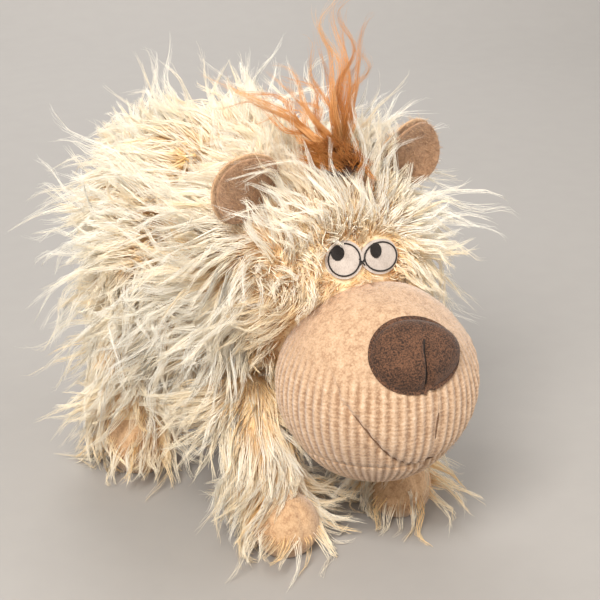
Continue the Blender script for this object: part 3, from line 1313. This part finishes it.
def felt_patch():
    mesh = bpy.data.meshes.new("eye_felt")
    patch = bpy.data.objects.new("eye_felt", mesh)
    bpy.context.scene.collection.objects.link(patch)
    outline = felt_outline()
    mesh.from_pydata([(x, y, 0) for x, y in outline], [], [list(range(len(outline)))])
    only(patch)
    bpy.ops.object.mode_set(mode="EDIT")
    bpy.ops.mesh.select_all(action="SELECT")
    bpy.ops.mesh.quads_convert_to_tris()
    bpy.ops.mesh.subdivide(number_cuts=5)
    bpy.ops.object.mode_set(mode="OBJECT")
    modified(patch, "SOLIDIFY", thickness=FELT_THICK, offset=1.0)
    points = coords(patch)
    low = points[:, 2].min()
    place_coords(patch, np.array([on_eyes(x, y, z - low) for x, y, z in points]))
    outward_faces(patch)
    finished(smooth(patch), FELT, "head", "felt_white", "eye_patch")
    bpy.ops.object.shade_smooth_by_angle(angle=math.radians(50))
    wide = [x for x, y in outline]
    tall = [y for x, y in outline]
    max(wide) - min(wide)
    max(tall) - min(tall)


def eye_stitches():
    """Back stitches round each lobe."""
    stitches = []
    for lobe in LOBES.values():
        path = oval(lobe, RIM, 26)
        for k, (ax, ay) in enumerate(path):
            bx, by = path[(k + 1) % len(path)]
            over = 0.15
            start = on_eyes(ax - (bx - ax) * over, ay - (by - ay) * over, FELT_THICK)
            middle = on_eyes((ax + bx) / 2, (ay + by) / 2, FELT_THICK + 0.5 * MM)
            end = on_eyes(bx + (bx - ax) * over, by + (by - ay) * over, FELT_THICK)
            stitches.append(thread_run("stitch", [start, middle, end], 0.42 * MM))
    whole = joined("eye_outline_stitches", stitches)
    finished(smooth(whole), BLACK_THREAD, "head", "thread_black", "eye_outline")


def satin_rows(name, x, y, radius):
    """A round pupil worked in rows of thread."""
    rows = []
    for k in range(13):
        rise = (k / 6 - 1) * radius * 0.93
        half = math.sqrt(radius**2 - rise**2)
        spots = ((-1, -0.1), (-0.6, 0.5), (0.6, 0.5), (1, -0.1))
        line = [on_eyes(x + half * way, y + rise, FELT_THICK + lift * MM) for way, lift in spots]
        rows.append(thread_run("row", line, 0.34 * MM))
    return joined(name, rows)


def eyes():
    felt_patch()
    eye_stitches()
    for name, (x, y, wide, tall) in LOBES.items():
        satin = satin_rows("pupil_%s_satin" % name, x - 0.33 * wide, y + 0.36 * tall, 3.7 * MM)
        finished(smooth(satin), BLACK_THREAD, "head", "thread_black", "pupil_" + name)
    cross = []
    for way in (-1, 1):
        half = 1.7 * MM
        line = [
            on_eyes(NOTCH - half, -half * way - 1.5 * MM, FELT_THICK - 0.2 * MM),
            on_eyes(NOTCH, -1.5 * MM, FELT_THICK + (0.9 + 0.3 * way) * MM),
            on_eyes(NOTCH + half, half * way - 1.5 * MM, FELT_THICK - 0.2 * MM),
        ]
        cross.append(thread_run("cross", line, 0.4 * MM))
    whole = joined("eye_bridge_cross", cross)
    finished(smooth(whole), BLACK_THREAD, "head", "thread_black", "eye_bridge_stitch")


# ---- ears ----

EAR_CUP = 38 * MM
EAR_RADIUS = 20 * MM
EAR_THICK = 3.2 * MM


def ear_axes(side_name):
    hinge = pivot("ear_%s_flop" % side_name)
    rising = (hinge - HEAD).normalized()
    side = 1 if hinge.x > 0 else -1
    facing = Vector((side * 0.25, -1, 0.1))
    facing = (facing - rising * facing.dot(rising)).normalized()
    across = rising.cross(facing)
    return hinge, rising, facing, across


def ear_panel(name, side_name, depth_low, depth_high):
    """One chenille panel, lens-shaped in section, bent onto the ear's cup."""
    hinge, rising, facing, across = (np.array(v) for v in ear_axes(side_name))
    panel = cloth_ball(name, (0, 0, 0), 1.0, 72, 48)
    points = coords(panel)
    flat_x, flat_y, thick = points[:, 0:1], points[:, 1:2], points[:, 2:3]
    plump = np.sign(thick) * np.abs(thick) ** 0.6
    middle = (depth_low + depth_high) / 2
    half = (depth_high - depth_low) / 2
    lobes = 1 + 0.03 * np.sin(3 * np.arctan2(flat_y, flat_x) + 1)
    u = flat_x * EAR_RADIUS * lobes * (1 - 0.18 * step_up(-0.2, -1.0, flat_y))
    w = flat_y * EAR_RADIUS * lobes
    radius = EAR_CUP + middle + plump * half
    turn = u / EAR_CUP
    centre = hinge + rising * (EAR_RADIUS - 2 * MM) + facing * EAR_CUP
    shape = centre + rising * w + across * (np.sin(turn) * radius) - facing * (np.cos(turn) * radius)
    place_coords(panel, shape)
    outward_faces(panel)
    return smooth(panel)


def surface_spread(piece, count, seed):
    """Points scattered over a piece's faces, with their outward directions."""
    rng = np.random.default_rng(seed)
    mesh = piece.data
    mesh.calc_loop_triangles()
    corners = np.zeros(len(mesh.loop_triangles) * 3, int)
    mesh.loop_triangles.foreach_get("vertices", corners)
    a, b, c = (coords(piece)[corners.reshape(-1, 3)[:, k]] for k in range(3))
    cross = np.cross(b - a, c - a)
    area = lengths_of(cross)[:, 0]
    chosen = rng.choice(len(area), count, p=area / area.sum())
    u, v = rng.uniform(0, 1, (2, count, 1))
    turned = (u + v) > 1
    u, v = np.where(turned, 1 - u, u), np.where(turned, 1 - v, v)
    points = a[chosen] + (b - a)[chosen] * u + (c - a)[chosen] * v
    return points, unit(cross[chosen])


EAR_FLUFF = fuzz_finish("ear_fluff", colour(196, 158, 122), colour(238, 212, 180))
INNER_FLUFF = fuzz_finish("ear_inner_fluff", colour(160, 122, 90), colour(214, 180, 146))


def ears():
    for name, side in SIDES:
        body = "ear_" + name
        back = ear_panel("ear_%s_back" % name, name, 0.1 * MM, EAR_THICK)
        inner = ear_panel("ear_%s_inner" % name, name, -EAR_THICK, -0.1 * MM)
        finished(back, TAN, body, "chenille_tan", body + "_back_panel")
        finished(inner, TAN_INNER, body, "chenille_tan", body + "_inner_panel")
        for piece in (back, inner):
            points, normals = surface_spread(piece, 1900, 71 + side)
            fluff = EAR_FLUFF if piece is back else INNER_FLUFF
            fuzz(piece.name + "_fuzz", points, normals, body, fluff, "chenille_tan", 4.0 * MM, 0.1 * MM, 9)


# ---- tuft ----


# where the tuft's locks end, from its root, in millimetres
TUFT_TIPS = [
    (2, -6, 92), (-7, -2, 94), (-12, 2, 84), (11, -8, 80), (-20, 16, 64), (-32, 22, 46), (-26, 20, 54),
    (-66, 38, 48), (-58, 34, 30), (-48, 34, 38), (-40, 26, 24), (6, 8, 78), (16, 6, 58), (-10, 10, 70),
    (-44, 40, 50), (0, 4, 86), (-30, 30, 36), (-22, 8, 40), (-54, 30, 44), (8, -4, 62), (-16, 14, 50),
]


def tuft():
    rng = np.random.default_rng(61)
    root = np.array(TUFT)
    tips = np.array(TUFT_TIPS) * MM
    count = len(tips)
    ease = unit(tips)
    start = root + ease * 5 * MM
    line = []
    steps = 21
    side = unit(np.cross(ease, rng.normal(size=(count, 3))))
    waves = rng.uniform(1.3, 2.3, (count, 1))
    phase = rng.uniform(0, 1, (count, 1))
    for k in range(steps):
        t = k / (steps - 1)
        rise = tips * np.array([1, 1, 0]) * t**1.25 + tips * np.array([0, 0, 1]) * (1 - (1 - t) ** 1.2)
        sway = side * (np.sin(2 * math.pi * (waves * t + phase)) - np.sin(2 * math.pi * phase)) * 7 * MM * t**0.7
        line.append(start + rise * 0.93 + sway)
    guides = np.stack(line, axis=1)
    tones = rng.uniform(0.2, 0.95, count)
    strands, tone = strands_of(guides, tones, rng, 38, 2.8 * MM, 12, 3.6 * MM, tip_spread=0.3, shortest=0.4)
    piece = strand_mesh("tuft_hair", strands, tone, strand_thickness(rng, len(strands), 0.08, 0.15))
    finished(piece, COPPER, "tuft", "tuft_hair", "tuft_locks")
    points, out = ball_spread(root, 7.5 * MM, 170)
    keep = out[:, 2] > -0.3
    points, out = points[keep], out[keep]
    lean = np.array([-0.35, 0.2, 0.1])
    lengths = rng.uniform(10, 22, len(points)) * MM
    guides = lock_guides(points, out + lean + drift(points, 0.02, 1.0) * 0.5, lengths, [], rng, 0.1, 1.6, 3 * MM)
    tones = rng.uniform(0.05, 0.5, len(points))
    strands, tone = strands_of(guides, tones, rng, 12, 2.5 * MM, 4, 2.2 * MM, tip_spread=0.6)
    piece = strand_mesh("tuft_base_hair", strands, tone, strand_thickness(rng, len(strands), 0.12, 0.24))
    finished(piece, COPPER, "tuft", "tuft_hair")
    base = cloth_ball("tuft_base", root, 8.3 * MM, 32, 24)
    place_coords(base, coords(base) + drift(coords(base), 0.01, 0.4) * 0.4 * MM)
    dark = chenille("tuft_base_pile", colour(110, 66, 30), colour(84, 46, 20), colour(50, 26, 12), 0.9 * MM)
    finished(smooth(base), dark, "tuft", "tuft_hair", "tuft_root")


def closing_stitches():
    node = frame["nodes"]["closing_stitches"]
    node.data.materials.clear()
    node.data.materials.append(CREAM_THREAD)


# ---- studio ----


def camera():
    a, e = math.radians(-35), math.radians(22)
    back = Vector((math.sin(a) * math.cos(e), -math.cos(a) * math.cos(e), math.sin(e)))
    right = Vector((math.cos(a), math.sin(a), 0))
    up = Vector((-math.sin(a) * math.sin(e), math.cos(a) * math.sin(e), math.cos(e)))
    lens = bpy.data.cameras.new("camera")
    lens.lens = 105.6
    lens.clip_start, lens.clip_end = 0.05, 20
    eye = bpy.data.objects.new("camera", lens)
    bpy.context.scene.collection.objects.link(eye)
    eye.location = MUZZLE - right * 0.0389 + up * 0.0409 + back * 0.9
    eye.rotation_mode = "QUATERNION"
    eye.rotation_quaternion = (-back).to_track_quat("-Z", "Y")
    bpy.context.scene.camera = eye


def lamp(name, place, target, size, power, shade=(1, 1, 1)):
    light = bpy.data.lights.new(name, "AREA")
    light.shape = "SQUARE"
    light.size = size
    light.energy = power
    light.color = shade
    holder = bpy.data.objects.new(name, light)
    bpy.context.scene.collection.objects.link(holder)
    holder.location = place
    holder.rotation_mode = "QUATERNION"
    holder.rotation_quaternion = (Vector(target) - Vector(place)).to_track_quat("-Z", "Y")


def studio_set():
    nothing_selected()
    bpy.ops.mesh.primitive_plane_add(size=3.0, location=(0, 0, -0.0002))
    floor = bpy.context.object
    floor.name = "studio_floor"
    bpy.ops.object.mode_set(mode="EDIT")
    bpy.ops.mesh.select_all(action="DESELECT")
    bpy.ops.object.mode_set(mode="OBJECT")
    for edge in floor.data.edges:
        edge.select = all(floor.data.vertices[v].co.y > 1.0 for v in edge.vertices)
    bpy.ops.object.mode_set(mode="EDIT")
    bpy.ops.mesh.select_mode(type="EDGE")
    bpy.ops.mesh.extrude_region_move(TRANSFORM_OT_translate={"value": (0, 0, 2.2)})
    bpy.ops.object.mode_set(mode="OBJECT")
    settle(floor)
    modified(floor, "BEVEL", width=0.5, segments=12)
    floor.rotation_euler = (0, 0, math.radians(-35))
    settle(floor)
    smooth(floor)
    floor.data.materials.append(studio("studio_paper", colour(160, 156, 152)))
    middle = (0, 0, 0.12)
    lamp("key_light", (-0.9, -0.75, 1.15), middle, 0.6, 32, (1.0, 0.97, 0.925))
    lamp("fill_light", (1.2, -0.9, 0.6), middle, 0.9, 10, (1.0, 0.97, 0.93))
    lamp("rim_light", (0.5, 1.2, 1.1), middle, 0.7, 16)
    world = bpy.data.worlds.new("studio_air")
    bpy.context.scene.world = world
    world.use_nodes = True
    world.node_tree.nodes["Background"].inputs["Color"].default_value = (1.0, 0.955, 0.9, 1.0)
    world.node_tree.nodes["Background"].inputs["Strength"].default_value = 0.5
    bpy.context.scene.view_settings.view_transform = "Standard"
    bpy.context.scene.cycles.max_bounces = 16
    bpy.context.scene.cycles.diffuse_bounces = 14


camera()
studio_set()
torso_skin()
head_skin()
neck_skin()
leg_skins()
tail_skin()
muzzle()
muzzle_fuzz()
nose()
mouth_threads()
eyes()
ears()
tuft()
closing_stitches()
torso_fur()
head_fur()
brow_fur()
leg_fur()
tail_fur()
neck_fur()

import json
